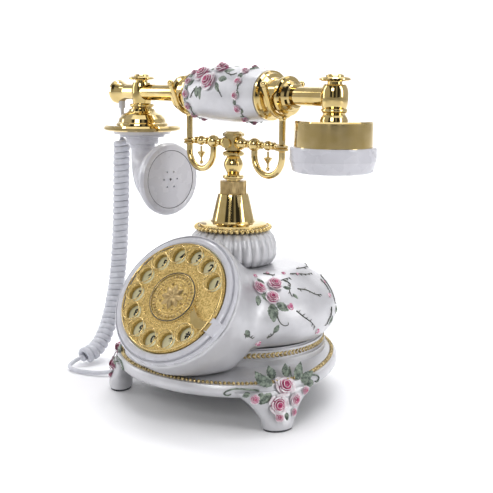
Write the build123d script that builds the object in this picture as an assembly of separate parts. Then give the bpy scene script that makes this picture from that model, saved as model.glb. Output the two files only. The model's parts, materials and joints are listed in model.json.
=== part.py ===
from build123d import *
from math import acos, cos, pi, radians, sin, tan
import os

# Ornate table telephone: resin plinth and body, rotary-style dial, cradle on a
# turned column, French-style handset and a curly cord. Millimetres, Z up, the
# dial faces -Y, the floor is Z = 0.

# ---- where the column stands, from the middle of the bounding box ----
column_x = 8.66
column_y = 5.76
cradle_turn = -11.0

# ---- plinth ----
plinth_half_width = 79.0
plinth_front = 64.5
plinth_back = 99.0
plinth_middle_y = -16.0
skirt_bottom_z = 22.5
plinth_edge_z = 31.0
step_base_z = 35.0
step_top_z = 39.0
band_top_z = 45.5
seam_z = 46.5
plinth_wall = 5.5
foot_x = 69.3
foot_y = -45.5
foot_turn = 58.0
back_foot_y = 74.0
pad_height = 1.5

# ---- body ----
body_half_width = 73.0
body_front = 68.0
body_back = 72.0
body_middle_y = 8.0
body_top_z = 97.0
body_ceiling_z = 89.5
collar_radius = 32.0
collar_top_z = 122.5
collar_lobes = 26
collar_gap = 0.5
bead_ring_radius = 26.2
flange_z = 124.7

# ---- dial ----
dial_y = -69.0
dial_z = 83.9
dial_rise = 35.7
wheel_radius = 39.6
wheel_thickness = 3.0
hole_radius = 5.9
hole_circle = 31.5
hole_count = 12
first_hole = 27.7
hole_step = 25.9
bezel_radius = 47.5
drum_radius = 48.6
number_plate_radius = 42.7

# ---- column and cradle ----
cone_top_z = 147.5
nut_top_z = 156.7
nut_radius = 9.5
stem_radius = 5.0
hub_z = 183.5
big_ball_x = 21.2
small_ball_x = 34.4
post_x = 47.5
u_tube_radius = 2.3
prong_radius = 1.8

# ---- handset ----
handset_z = 217.5
grip_half = 35.5
grip_radius = 19.3
sleeve_end = 60.0
tube_radius = 6.2
ear_x = 92.5
mouth_x = -105.0
cap_end_x = -137.0
ear_cup_radius = 25.2
ear_ring_radius = 28.0
ear_cup_top_z = 202.7
ear_cup_bottom_z = 186.2
ear_ring_bottom_z = 170.0
mouth_face_x = -70.0
mouth_z = 151.5
mouth_radius = 28.0

# ---- cord ----
lead_radius = 1.9
coil_radius = 6.5

nodes = {}


def lathe(outline, bore=0.0):
    """Solid of revolution about Z from (radius, height) corners, bottom to top."""
    corners = list(outline)
    if corners[0][0] != bore:
        corners.insert(0, (bore, corners[0][1]))
    if corners[-1][0] != bore:
        corners.append((bore, corners[-1][1]))
    face = make_face(Plane.XZ * Polyline(*corners, close=True))
    return revolve(face, Axis.Z)


def vase(outline, bore=0.0):
    """Solid of revolution whose outer line is a smooth curve through the points."""
    start = (bore, outline[0][1])
    finish = (bore, outline[-1][1])
    curve = Spline(*outline)
    lines = [Line(start, outline[0]), curve, Line(outline[-1], finish), Line(finish, start)]
    face = make_face(Plane.XZ * Curve(lines))
    return revolve(face, Axis.Z)


def ring(radius, thickness, height):
    """A rounded bead round the Z axis at the given height."""
    return Pos(0, 0, height) * Torus(radius, thickness)


def egg(half_width, front, back, middle_y, z):
    """Egg-shaped face of two half ellipses, the blunt end toward -Y."""
    near = EllipticalCenterArc((0, middle_y), half_width, front, start_angle=180, arc_size=180)
    far = EllipticalCenterArc((0, middle_y), half_width, back, start_angle=0, arc_size=180)
    return Pos(0, 0, z) * make_face(Curve([near, far]))


def plinth_face(inset, z):
    return egg(
        plinth_half_width - inset,
        plinth_front - inset,
        plinth_back - inset,
        plinth_middle_y,
        z,
    )


def body_face(inset, z):
    return egg(
        body_half_width - inset,
        body_front - inset,
        body_back - inset,
        body_middle_y,
        z,
    )


def slab(face, height):
    return extrude(face, height, dir=(0, 0, 1))


def bar(start, end, radius):
    """Round bar between two points."""
    a = Vector(*start)
    b = Vector(*end)
    plane = Plane(origin=a, z_dir=b - a)
    return extrude(plane * Circle(radius), (b - a).length)


def tube_along(path, radius):
    """Round section carried along a wire."""
    plane = Plane(origin=path @ 0, z_dir=path % 0)
    return sweep(plane * Circle(radius), path=path)


to_right = Rotation(0, 90, 0)
to_left = Rotation(0, -90, 0)
dial_normal = (0, -cos(radians(dial_rise)), sin(radians(dial_rise)))
dial_plane = Plane(origin=(0, dial_y, dial_z), x_dir=(1, 0, 0), z_dir=dial_normal)
dial_frame = dial_plane.location
base_frame = Pos(column_x, column_y, 0)
cradle_frame = base_frame * Rotation(0, 0, cradle_turn)
handset_frame = cradle_frame * Pos(0, 0, handset_z)

# ---------------------------------------------------------------- plinth
skirt = loft([plinth_face(1.4, skirt_bottom_z), plinth_face(-1.0, 26.0), plinth_face(0, plinth_edge_z)])
slope = loft([plinth_face(0, plinth_edge_z), body_face(8.0, step_base_z)])
step = slab(body_face(8.0, step_base_z), step_top_z - step_base_z)
band = slab(body_face(9.8, step_top_z), band_top_z - step_top_z)
seam = slab(body_face(11.5, band_top_z), seam_z - band_top_z)
casting = skirt + slope + step + band + seam


def foot(x, y, turn):
    """Cabriole foot: a wide shoulder under the skirt narrowing to a round toe."""
    sizes = [
        (10.6, 8.0, pad_height, 0.5),
        (11.4, 8.6, 4.5, 0.5),
        (14.2, 7.6, 11.0, -0.5),
        (19.6, 7.2, 18.0, -2.5),
        (29.0, 6.6, 27.0, -4.0),
    ]
    faces = [Pos(0, -out, z) * Ellipse(wide, deep) for wide, deep, z, out in sizes]
    return Pos(x, y, 0) * Rotation(0, 0, turn) * loft(faces)


feet_at = [(-foot_x, foot_y, -foot_turn), (foot_x, foot_y, foot_turn), (0.0, back_foot_y, 180.0)]
for x, y, turn in feet_at:
    casting += foot(x, y, turn)
solid_casting = casting
under_cavity = slab(plinth_face(plinth_wall, 20.0), 9.0)
top_opening = slab(body_face(17.5, 28.0), 20.0)
boss_at = [(-34.0, -52.0), (34.0, -52.0), (-50.0, 44.0), (50.0, 44.0)]
plinth = casting - under_cavity - top_opening
for x, y in boss_at:
    plinth += Pos(x, y, 26.65) * Cylinder(4.0, 5.3)
    plinth -= Pos(x, y, 26.0) * Cylinder(1.2, 4.4)
nodes["plinth"] = base_frame * plinth

bottom_plate = slab(plinth_face(plinth_wall + 0.5, 22.5), 1.5)
for x, y in boss_at:
    bottom_plate -= Pos(x, y, 23.0) * Cylinder(1.5, 4.0)
board_posts = [(-27.0, 10.0), (27.0, 10.0), (-27.0, -18.0), (27.0, -18.0)]
for x, y in board_posts:
    bottom_plate += Pos(x, y, 26.0) * Cylinder(3.0, 4.4)
nodes["bottom_plate"] = base_frame * bottom_plate

for index, (x, y) in enumerate(boss_at):
    screw = Pos(x, y, 21.6) * Cylinder(2.8, 1.8) + Pos(x, y, 24.8) * Cylinder(1.2, 5.0)
    screw -= Pos(x, y, 20.8) * Box(3.6, 0.8, 1.0)
    nodes[f"bottom_screw_{index + 1}"] = base_frame * screw

for side, (x, y, turn) in zip(("left", "right", "back"), feet_at):
    pad = Pos(x, y, 0) * Rotation(0, 0, turn) * Pos(0, -0.5, 0) * extrude(Ellipse(10.0, 7.4), pad_height)
    nodes[f"foot_pad_{side}"] = base_frame * pad

# ---------------------------------------------------------------- inside the plinth
board = Pos(0, -4.0, 29.0) * Box(64.0, 40.0, 1.6)
for x, y in ((-18.0, -18.0), (14.0, -4.0), (-10.0, 8.0)):
    board += Pos(x, y, 31.8) * Box(12.0, 7.0, 4.0)
nodes["circuit_board"] = base_frame * board
ringer = lathe([(16.0, 24.0), (16.0, 31.0), (14.0, 32.5)])
nodes["ringer"] = base_frame * Pos(0, 38.0, 0) * ringer
jack_x = -57.0
jack_y = -22.0
jack = Pos(jack_x, jack_y, 16.25) * Box(13.0, 15.0, 12.5)
jack -= Pos(jack_x - 4.5, jack_y, 15.0) * Box(9.0, 8.0, 6.4)
nodes["handset_jack"] = base_frame * jack
line_jack = Pos(30.0, 56.0, 16.25) * Box(15.0, 13.0, 12.5)
line_jack -= Pos(30.0, 60.0, 15.0) * Box(10.0, 9.0, 6.4)
nodes["line_jack"] = base_frame * line_jack

# ---------------------------------------------------------------- body shell
collar_outline = [
    (25.5, body_top_z),
    (30.0, 100.5),
    (collar_radius, 108.5),
    (30.6, 116.5),
    (25.0, collar_top_z),
]
cushion_sizes = [
    (10.5, seam_z),
    (3.0, 54.0),
    (0.2, 62.0),
    (0.2, 70.0),
    (4.5, 79.0),
    (15.0, 88.0),
    (36.0, body_top_z),
]
cushion = loft([body_face(inset, z) for inset, z in cushion_sizes])
drum = lathe([(drum_radius, -44.0), (drum_radius, -5.0), (47.9, -4.0)])
room_sizes = [(17.5, seam_z - 2.0), (8.0, 60.0), (9.0, 72.0), (40.0, body_ceiling_z)]
room = loft([body_face(inset, z) for inset, z in room_sizes])
dial_pocket = Pos(0, 0, -5.75) * Cylinder(number_plate_radius + 0.05, 3.5)
dial_well = Pos(0, 0, -26.0) * Cylinder(36.0, 40.0)
body = cushion + dial_frame * drum
body = body - solid_casting - room - dial_frame * dial_pocket - dial_frame * dial_well
body -= Pos(0, 0, 93.0) * Cylinder(9.3, 12.0)
body -= vase([(radius + collar_gap, height) for radius, height in collar_outline])
body -= Pos(0, 0, plinth_edge_z - 51.0) * Cylinder(120.0, 100.0)
pieces = sorted(body.solids(), key=lambda piece: piece.volume)
body = pieces[-1]
nodes["body_shell"] = base_frame * body

# ---------------------------------------------------------------- lobed collar and bead ring
collar = vase(collar_outline, bore=9.5)
flute_path = Plane.XZ * Spline(*[(radius + 0.9, height) for radius, height in collar_outline])
flute = tube_along(flute_path, 1.7)
for index in range(collar_lobes):
    collar -= Rotation(0, 0, 360.0 * index / collar_lobes) * flute
nodes["collar"] = base_frame * collar
bead_ring = lathe(
    [
        (23.0, collar_top_z),
        (bead_ring_radius - 0.8, collar_top_z),
        (bead_ring_radius, 123.6),
        (25.2, flange_z),
    ],
    bore=9.5,
)
nodes["collar_bead_ring"] = base_frame * bead_ring

# ---------------------------------------------------------------- column
column = lathe(
    [
        (9.2, 81.5),
        (9.2, flange_z),
        (24.2, flange_z),
        (24.2, 126.4),
        (21.0, 127.1),
        (16.4, 127.4),
        (15.4, 128.5),
        (11.3, 146.1),
        (10.9, cone_top_z),
    ],
    bore=5.4,
)
nodes["column"] = base_frame * column
clamp_nut = Pos(0, 0, 82.5) * extrude(RegularPolygon(15.0, 6), 5.0)
clamp_nut -= Pos(0, 0, 85.0) * Cylinder(9.2, 6.0)
nodes["clamp_nut"] = base_frame * clamp_nut
bracket = Pos(0, 0, 88.5) * Box(34.0, 12.0, 2.0)
bracket += Pos(0, 0, 64.5) * Box(34.0, 12.0, 2.0)
for side in (-1, 1):
    bracket += Pos(side * 16.25, 0, 76.5) * Box(1.5, 12.0, 26.0)
bracket -= Pos(0, 0, 88.5) * Cylinder(9.2, 6.0)
nodes["switch_bracket"] = base_frame * bracket
hook_switch = Pos(0, 0, 70.5) * Box(20.0, 6.4, 10.0) + Pos(0, 0, 76.8) * Cylinder(1.6, 2.6)
nodes["hook_switch"] = base_frame * hook_switch
flutes = 44
knurl_points = [
    PolarLocations(nut_radius - 0.35 * (index % 2), 1).local_locations[0].position.rotate(
        Axis.Z, 180.0 * index / flutes
    )
    for index in range(2 * flutes)
]
nut = Pos(0, 0, cone_top_z) * extrude(make_face(Polyline(*knurl_points, close=True)), nut_top_z - cone_top_z)
nut -= Pos(0, 0, 152.0) * Cylinder(stem_radius + 0.05, 14.0)
nodes["knurled_nut"] = base_frame * nut

# ---------------------------------------------------------------- dial, built flat with its face at Z = 0
bezel_bore = 40.7
bezel = lathe(
    [
        (bezel_radius, -4.0),
        (bezel_radius, -1.4),
        (46.6, -0.8),
        (46.6, -1.8),
        (45.4, -1.8),
        (45.0, 0.3),
        (43.8, 0.9),
        (41.6, 0.9),
        (bezel_bore, 0.2),
    ],
    bore=bezel_bore,
)
clip_turn = -21.0
clip_block = Rotation(0, 0, clip_turn) * Pos(44.6, 0, 0.2) * Box(9.4, 10.5, 4.4)
stop_blade = make_face(
    Polyline(
        (42.0, -4.4),
        (33.0, -7.2),
        (27.0, -6.0),
        (22.5, -2.0),
        (21.0, 5.0),
        (24.6, 1.8),
        (29.0, -0.2),
        (34.0, -0.6),
        (42.0, 1.8),
        close=True,
    )
)
finger_stop = Rotation(0, 0, clip_turn) * Pos(0, 0, 1.1) * extrude(stop_blade, 1.3)
bezel -= clip_block
nodes["dial_bezel"] = base_frame * dial_frame * bezel
nodes["finger_stop_clip"] = base_frame * dial_frame * (clip_block - finger_stop)
nodes["finger_stop"] = base_frame * dial_frame * finger_stop

number_plate = Pos(0, 0, -4.75) * Cylinder(number_plate_radius, 1.5)
number_plate -= Pos(0, 0, -4.75) * Cylinder(3.4, 4.0)
nodes["number_plate"] = base_frame * dial_frame * number_plate
mechanism = lathe([(24.0, -22.0), (26.0, -20.0), (26.0, -9.0), (31.0, -8.0), (31.0, -5.5)], bore=3.05)
nodes["dial_mechanism"] = base_frame * dial_frame * mechanism
wheel = Pos(0, 0, -wheel_thickness / 2) * Cylinder(wheel_radius, wheel_thickness)
for index in range(hole_count):
    angle = first_hole + hole_step * index
    where = Rotation(0, 0, angle) * Pos(hole_circle, 0, -wheel_thickness / 2)
    wheel -= where * Cylinder(hole_radius, wheel_thickness + 1)
    wheel -= where * Pos(0, 0, wheel_thickness / 2) * Cone(hole_radius, hole_radius + 0.6, 0.6)
nodes["finger_wheel"] = base_frame * dial_frame * wheel
dial_cap = lathe(
    [
        (18.6, 0.0),
        (18.6, 0.5),
        (17.8, 0.9),
        (17.0, 0.5),
        (16.2, 0.9),
        (12.0, 1.1),
        (11.2, 0.7),
        (3.0, 1.2),
    ]
)
nodes["dial_cap"] = base_frame * dial_frame * dial_cap
nodes["dial_shaft"] = base_frame * dial_frame * Pos(0, 0, -12.0) * Cylinder(3.0, 18.0)

# ---------------------------------------------------------------- cradle
stem = Pos(0, 0, 118.3) * Cylinder(stem_radius, 80.0)
stem += vase([(5.0, 157.5), (4.4, 161.5), (6.7, 166.5), (6.5, 170.5), (4.2, 175.0), (4.2, 178.5)])
stem += lathe([(4.0, 157.8), (7.2, 158.2), (7.6, 158.9), (7.6, 159.9), (7.2, 160.6), (4.0, 161.4)])
stem += lathe([(4.0, 173.8), (7.1, 174.6), (7.7, 175.5), (7.7, 176.6), (6.6, 177.6), (4.0, 178.4)])
nodes["cradle_stem"] = cradle_frame * stem
hub = Pos(0, 0, 178.5) * extrude(RegularPolygon(6.4, 8), 10.0)
hub += loft([Pos(0, 0, 188.5) * RegularPolygon(7.8, 8), Pos(0, 0, 190.1) * RegularPolygon(7.8, 8)])
hub += loft([Pos(0, 0, 190.1) * RegularPolygon(7.8, 8), Pos(0, 0, 191.9) * RegularPolygon(5.2, 8)])
for side in (-1, 1):
    hub += Pos(side * 8.0, 0, hub_z) * Sphere(4.2)
    hub += Pos(0, side * 5.6, hub_z) * Rotation(90, 0, 0) * Cylinder(3.4, 3.0)
nodes["cradle_hub"] = cradle_frame * hub


def fork(side):
    """U tube, post and two prongs of one end of the cradle."""
    bend = (post_x - big_ball_x) / 2
    middle = (post_x + big_ball_x) / 2
    low = 176.0
    path = Curve(
        [
            Line((side * big_ball_x, 0, hub_z - 4.2), (side * big_ball_x, 0, low)),
            ThreePointArc(
                (side * big_ball_x, 0, low),
                (side * middle, 0, low - bend),
                (side * post_x, 0, low),
            ),
            Line((side * post_x, 0, low), (side * post_x, 0, 203.0)),
        ]
    )
    shape = tube_along(Wire(path.edges()), u_tube_radius)
    collar_line = [(2.2, -2.6), (4.5, -1.6), (4.5, -0.5), (3.6, 0.0), (4.5, 0.5), (4.5, 1.6), (2.2, 2.6)]
    shape += Pos(side * post_x, 0, hub_z - 1.0) * lathe(collar_line)
    shape += Pos(side * post_x, 0, 202.6) * Sphere(2.9)
    reach = 14.0
    for hand in (-1, 1):
        start = (side * post_x, 0, handset_z - reach)
        at = radians(-50.0)
        stop = radians(-14.0)
        middle_point = (side * post_x, hand * reach * cos(at), handset_z + reach * sin(at))
        end = (side * post_x, hand * reach * cos(stop), handset_z + reach * sin(stop))
        tip = (side * post_x, end[1] + hand * 12.0 * sin(radians(24.0)), end[2] + 12.0 * cos(radians(24.0)))
        arc = ThreePointArc(start, middle_point, end)
        shape += tube_along(Wire([arc.edge()]), prong_radius)
        shape += Pos(*end) * Sphere(prong_radius)
        shape += bar(end, tip, prong_radius)
        shape += Pos(*tip) * Sphere(2.4)
    return shape


def cross_arm(side):
    """Bar with its two balls, from the hub to the post."""
    shape = bar((side * 6.0, 0, hub_z), (side * (post_x - 2.0), 0, hub_z), 1.7)
    shape += Pos(side * big_ball_x, 0, hub_z) * Sphere(4.7)
    shape += Pos(side * small_ball_x, 0, hub_z) * Sphere(3.5)
    for where in (13.6, 27.6, 39.6):
        shape += Pos(side * where, 0, hub_z) * to_right * Cylinder(2.7, 1.6)
    return shape


def pendant():
    """Star and drop hanging from an eye, its top at Z = 0."""
    shape = lathe([(0.8, -4.4), (0.8, 0.0)])
    shape += lathe([(0.8, -8.4), (3.0, -4.9), (3.0, -4.3), (1.0, -3.7)])
    shape += lathe([(0.7, -12.0), (0.7, -8.0)])
    shape += Pos(0, 0, -12.1) * Sphere(1.4)
    return shape


left_fork = fork(-1)
left_arm = cross_arm(-1) - hub - left_fork
left_arm = sorted(left_arm.solids(), key=lambda piece: piece.volume)[-1]
for side, name in ((-1, "left"), (1, "right")):
    fork_shape = left_fork if side < 0 else mirror(left_fork, about=Plane.YZ)
    arm_shape = left_arm if side < 0 else mirror(left_arm, about=Plane.YZ)
    nodes[f"{name}_fork"] = cradle_frame * fork_shape
    nodes[f"{name}_cross_arm"] = cradle_frame * arm_shape
    nodes[f"{name}_pendant"] = cradle_frame * Pos(side * small_ball_x, 0, hub_z - 3.9) * pendant()

# ---------------------------------------------------------------- handset, X along the grip, Z = 0 on its axis
grip_line = Plane.XZ * Curve(
    [
        Line((5.5, -grip_half), (17.0, -grip_half)),
        ThreePointArc((17.0, -grip_half), (grip_radius, 0.0), (17.0, grip_half)),
        Line((17.0, grip_half), (5.5, grip_half)),
        Line((5.5, grip_half), (5.5, -grip_half)),
    ]
)
grip = revolve(make_face(grip_line), Axis.Z)
nodes["grip"] = handset_frame * to_right * grip

sleeve = lathe(
    [
        (15.6, grip_half),
        (16.8, 36.4),
        (16.8, 38.0),
        (15.4, 38.8),
        (14.8, 40.2),
        (12.4, 41.4),
        (11.6, 43.0),
        (11.6, 50.2),
        (13.0, 50.9),
        (13.2, 51.8),
        (13.2, 54.0),
        (12.0, 54.8),
        (10.4, 55.2),
        (9.6, 57.4),
        (8.2, 58.4),
        (7.8, sleeve_end),
    ],
    bore=5.5,
)
nodes["left_sleeve"] = handset_frame * to_left * sleeve
nodes["right_sleeve"] = handset_frame * to_right * sleeve

right_tee = lathe([(9.2, -14.8), (8.4, -12.6), (7.2, -11.0), (7.4, -9.6)])
right_tee += ring(7.0, 1.5, -8.4)
right_tee += vase([(7.0, -9.0), (8.4, -5.0), (8.8, 0.0), (8.3, 5.4), (7.0, 8.0)])
right_tee = Pos(ear_x, 0, 0) * right_tee
left_tee = vase([(7.0, -9.0), (7.6, -4.0), (7.8, 0.0), (7.5, 5.2), (6.8, 7.6)])
left_tee += lathe([(10.5, -14.6), (9.6, -12.8), (8.0, -12.4), (8.0, -11.4)])
left_tee += ring(8.2, 1.4, -10.2)
left_tee += lathe([(8.0, -11.6), (7.0, -8.6)])
left_tee = Pos(mouth_x, 0, 0) * left_tee

right_tube = Pos((sleeve_end + ear_x) / 2, 0, 0) * to_right * Cylinder(tube_radius, ear_x - sleeve_end)
right_tube = right_tube - right_tee - Pos(ear_x + 10, 0, 0) * Box(20, 20, 20)
left_tube_length = -mouth_x - sleeve_end
left_tube = Pos((mouth_x - sleeve_end) / 2, 0, 0) * to_right * Cylinder(tube_radius, left_tube_length)
left_tube = left_tube - left_tee - Pos(mouth_x - 10, 0, 0) * Box(20, 20, 20)
left_tube = sorted(left_tube.solids(), key=lambda piece: piece.volume)[-1]
right_tube = sorted(right_tube.solids(), key=lambda piece: piece.volume)[-1]
nodes["right_tee"] = handset_frame * right_tee
nodes["left_tee"] = handset_frame * left_tee
nodes["right_tube"] = handset_frame * right_tube
nodes["left_tube"] = handset_frame * left_tube

knob = lathe(
    [
        (4.8, 0.0),
        (4.8, 1.6),
        (8.6, 2.0),
        (10.2, 2.8),
        (10.2, 3.6),
        (8.6, 4.6),
        (5.8, 4.8),
        (5.8, 5.6),
        (4.6, 6.4),
    ]
)
nodes["right_knob"] = handset_frame * Pos(ear_x, 0, 8.0) * knob
nodes["left_knob"] = handset_frame * Pos(mouth_x, 0, 7.6) * knob

cap_line = [
    (tube_radius, -mouth_x),
    (tube_radius, 123.0),
    (6.8, 127.0),
    (8.2, 131.0),
    (9.4, 133.4),
    (9.4, 135.8),
    (8.6, -cap_end_x),
]
end_cap = to_left * lathe(cap_line)
end_cap = end_cap - left_tee - Pos(mouth_x + 10, 0, 0) * Box(20, 20, 20)
end_cap -= Pos(-134.0, 0, 0) * to_right * Cylinder(6.4, 8.0)
end_cap = sorted(end_cap.solids(), key=lambda piece: piece.volume)[-1]
gland = Pos(-131.0, 0, -9.6) * Cylinder(2.8, 6.6) - end_cap
gland = sorted(gland.solids(), key=lambda piece: piece.center().Z)[0]
nodes["left_end_cap"] = handset_frame * end_cap
nodes["cord_gland"] = handset_frame * gland

flange_bottom = 187.7 - handset_z
dome = lathe(
    [
        (28.6, flange_bottom),
        (30.4, -28.8),
        (30.4, -27.0),
        (28.6, -25.6),
        (20.6, -25.2),
        (20.2, -24.0),
        (18.8, -23.2),
        (18.2, -20.4),
        (15.4, -17.4),
        (11.4, -15.4),
        (10.5, -14.6),
    ]
)
nodes["mouth_flange"] = handset_frame * Pos(mouth_x, 0, 0) * dome

bend = 22.0
neck_top = 173.5
horn_faces = [Pos(mouth_x, 0, neck_top - handset_z) * Circle(9.0)]
for angle, radius in ((30.0, 11.0), (60.0, 16.0), (85.0, 21.5)):
    a = radians(angle)
    centre = (mouth_x + bend * (1 - cos(a)), 0, neck_top - handset_z - bend * sin(a))
    horn_faces.append(Plane(origin=centre, z_dir=(-sin(a), 0, cos(a))) * Circle(radius))
horn_faces.append(Plane(origin=(-76.0, 0, mouth_z - handset_z), z_dir=(-1, 0, 0)) * Circle(27.0))
horn = loft(horn_faces)
collars = lathe(
    [
        (9.0, neck_top),
        (10.2, 174.1),
        (10.2, 176.9),
        (12.9, 177.5),
        (12.9, 182.1),
        (17.6, 182.9),
        (17.6, 184.5),
        (22.2, 185.1),
        (22.6, 187.7),
    ]
)
horn += Pos(mouth_x, 0, -handset_z) * collars
rim_line = [(27.0, 0.0), (mouth_radius, 1.5), (mouth_radius, 4.0), (26.6, 6.0), (24.0, 6.4), (22.8, 6.0)]
rim_frame = Pos(-76.0, 0, mouth_z - handset_z) * to_right
horn += rim_frame * lathe(rim_line)
horn -= rim_frame * Pos(0, 0, 4.2) * Cylinder(22.4, 5.0)
horn -= rim_frame * Pos(0, 0, 0.0) * Cylinder(12.0, 12.0)
nodes["horn"] = handset_frame * horn
mouth_cap = Pos(0, 0, 4.1) * Cylinder(22.3, 3.4)
mouth_cap -= Cylinder(1.1, 12.0)
for index in range(6):
    mouth_cap -= Rotation(0, 0, 60.0 * index + 30.0) * Pos(6.6, 0, 0) * Cylinder(0.75, 12.0)
nodes["mouth_cap"] = handset_frame * rim_frame * mouth_cap
nodes["microphone"] = handset_frame * rim_frame * Pos(0, 0, -1.4) * Cylinder(9.5, 7.4)

cup_outline = [(ear_cup_radius, ear_cup_bottom_z), (ear_cup_radius, 201.7), (24.2, ear_cup_top_z)]
ear_cup = lathe(cup_outline) - Pos(0, 0, 192.5) * Cylinder(ear_cup_radius - 1.6, 16.0)
ear_ring = lathe(
    [
        (24.6, ear_ring_bottom_z),
        (26.2, 171.0),
        (27.6, 176.5),
        (ear_ring_radius, 177.5),
        (ear_ring_radius, 185.1),
        (27.4, ear_cup_bottom_z),
    ]
)
ear_ring -= Pos(0, 0, 181.5) * Cylinder(22.0, 20.0)
ear_ring -= Pos(0, 0, 168.5) * Cylinder(17.0, 4.0)
for index in range(6):
    ear_ring -= Rotation(0, 0, 60.0 * index) * Pos(7.0, 0, 170.5) * Cylinder(1.1, 6.0)
ear_ring -= Pos(0, 0, 170.5) * Cylinder(1.1, 6.0)
receiver = lathe([(21.9, 171.5), (21.9, 179.5), (14.0, 183.5)])
ear_place = handset_frame * Pos(ear_x, 0, -handset_z)
nodes["ear_cup"] = ear_place * ear_cup
nodes["ear_ring"] = ear_place * ear_ring
nodes["receiver"] = ear_place * receiver

# ---------------------------------------------------------------- cord


def world(x_turned, y_turned, z):
    """A point of the turned cradle frame in the base frame."""
    a = radians(cradle_turn)
    return (x_turned * cos(a) - y_turned * sin(a), x_turned * sin(a) + y_turned * cos(a), z)


def beyond(first, second, distance):
    """The point past the second one, on the line from the first."""
    a = Vector(*first)
    b = Vector(*second)
    return tuple(b + (b - a).normalized() * distance)


def route(points):
    """Straight runs joined by arcs, each radius from the shorter run beside it."""
    vectors = [Vector(*point) for point in points]
    radii = []
    for before, at, after in zip(vectors, vectors[1:], vectors[2:]):
        first = at - before
        second = after - at
        turn = acos(max(-1.0, min(1.0, first.normalized().dot(second.normalized()))))
        radii.append(0.45 * min(first.length, second.length) / tan(turn / 2))
    print("radii", [round(radius, 2) for radius in radii])
    print("runs", [round((b - a).length, 1) for a, b in zip(vectors, vectors[1:])])
    return FilletPolyline(*points, radius=radii)


plug_face_x = jack_x - 14.2
coil_top = world(-136.2, 3.0, 180.0)
coil_start = (-133.5, 25.5, 84.0)
coil_landing = (-127.5, -9.0, 10.6)
coil_end = (-131.0, -25.0, 6.7)
lead_down = [
    world(-131.0, 0.0, handset_z - 12.9),
    world(-131.0, 0.0, 199.6),
    world(-136.6, 6.0, 195.5),
    world(-138.3, 7.0, 189.0),
    beyond(coil_start, coil_top, 4.6),
    coil_top,
]
coil_points = [coil_top, coil_start, (-130.0, 10.0, 34.0), coil_landing, coil_end]
floor_lead = [
    coil_end,
    beyond(coil_landing, coil_end, 7.2),
    (-131.0, -42.0, 2.2),
    (-108.0, -41.5, 2.2),
    (-92.0, -31.0, 3.0),
    (-83.0, -24.0, 9.0),
    (-77.5, jack_y, 15.0),
    (plug_face_x, jack_y, 15.0),
]
plug = Pos(jack_x - 10.2, jack_y, 15.0) * Box(8.0, 7.0, 6.0)
plug += Pos(jack_x - 4.9, jack_y, 15.0) * Box(2.8, 6.0, 5.0)
for name, points, radius in (
    ("cord_top_lead", lead_down, lead_radius),
    ("curly_cord", coil_points, coil_radius),
    ("cord_floor_lead", floor_lead, lead_radius),
):
    path = route(points)
    cord = tube_along(path, radius)
    length = sum(edge.length for edge in path.edges())
    ratio = cord.volume / (length * pi * radius**2)
    print(name, "length", round(length, 2), "volume ratio", round(ratio, 4))
    nodes[name] = base_frame * cord
nodes["cord_plug"] = base_frame * plug

os.makedirs("parts", exist_ok=True)
for name, shape in nodes.items():
    export_step(shape, f"parts/{name}.step")
free_cord = ("cord_top_lead", "curly_cord", "cord_floor_lead", "cord_plug")
whole = Compound([shape for name, shape in nodes.items() if name not in free_cord])
box = whole.bounding_box()
print("nodes", len(nodes), "box", box.min, box.max)
print("shift by", -(box.min.X + box.max.X) / 2, -(box.min.Y + box.max.Y) / 2)
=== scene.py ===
"""Looks for the French-style table telephone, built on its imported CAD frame. Lengths are in metres."""

import json
from math import cos, pi, radians, sin
from random import Random

import bpy
from mathutils import Matrix, Vector
from mathutils.bvhtree import BVHTree

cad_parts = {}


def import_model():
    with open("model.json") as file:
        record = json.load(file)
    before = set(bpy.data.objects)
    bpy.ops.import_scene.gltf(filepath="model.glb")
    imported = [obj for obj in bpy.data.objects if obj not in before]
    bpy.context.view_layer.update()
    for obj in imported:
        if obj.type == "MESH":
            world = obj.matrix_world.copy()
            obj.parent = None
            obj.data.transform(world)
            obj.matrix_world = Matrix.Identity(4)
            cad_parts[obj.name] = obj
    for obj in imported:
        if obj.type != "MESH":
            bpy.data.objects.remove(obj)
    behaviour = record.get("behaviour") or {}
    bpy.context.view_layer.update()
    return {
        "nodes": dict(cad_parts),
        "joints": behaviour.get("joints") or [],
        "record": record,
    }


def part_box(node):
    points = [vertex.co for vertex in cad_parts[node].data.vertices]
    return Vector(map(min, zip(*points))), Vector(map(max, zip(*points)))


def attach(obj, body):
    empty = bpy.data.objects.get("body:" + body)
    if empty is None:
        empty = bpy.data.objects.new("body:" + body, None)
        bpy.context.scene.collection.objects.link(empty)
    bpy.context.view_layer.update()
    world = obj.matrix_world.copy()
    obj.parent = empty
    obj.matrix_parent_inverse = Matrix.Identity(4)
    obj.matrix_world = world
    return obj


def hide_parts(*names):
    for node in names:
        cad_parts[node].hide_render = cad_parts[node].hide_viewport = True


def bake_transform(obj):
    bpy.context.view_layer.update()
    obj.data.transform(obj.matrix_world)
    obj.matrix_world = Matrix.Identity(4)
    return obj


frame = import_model()
nodes = frame["nodes"]
joints = {joint["name"]: joint for joint in frame["joints"]}

MM = 0.001
UP = Vector((0, 0, 1))


def outward(degrees):
    """The level direction at an angle from the frame's X."""
    return Vector((cos(radians(degrees)), sin(radians(degrees)), 0))


def put(name, data):
    """A new object in the scene."""
    made = bpy.data.objects.new(name, data)
    bpy.context.scene.collection.objects.link(made)
    return made


def middle(node):
    low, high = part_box(node)
    return (Vector(low) + Vector(high)) / 2


column = middle("column")
column.z = 0
dial_centre = Vector(joints["dial_turn"]["pos_m"])
dial_normal = -Vector(joints["dial_turn"]["axis"])
dial_up = dial_normal.cross(Vector((1, 0, 0)))
grip_centre = middle("grip")
swing = Vector(joints["left_drop_swing"]["axis"])
handset_x = swing.cross(UP).normalized()
handset_y = UP.cross(handset_x)

# ---------------------------------------------------------------- materials

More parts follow.
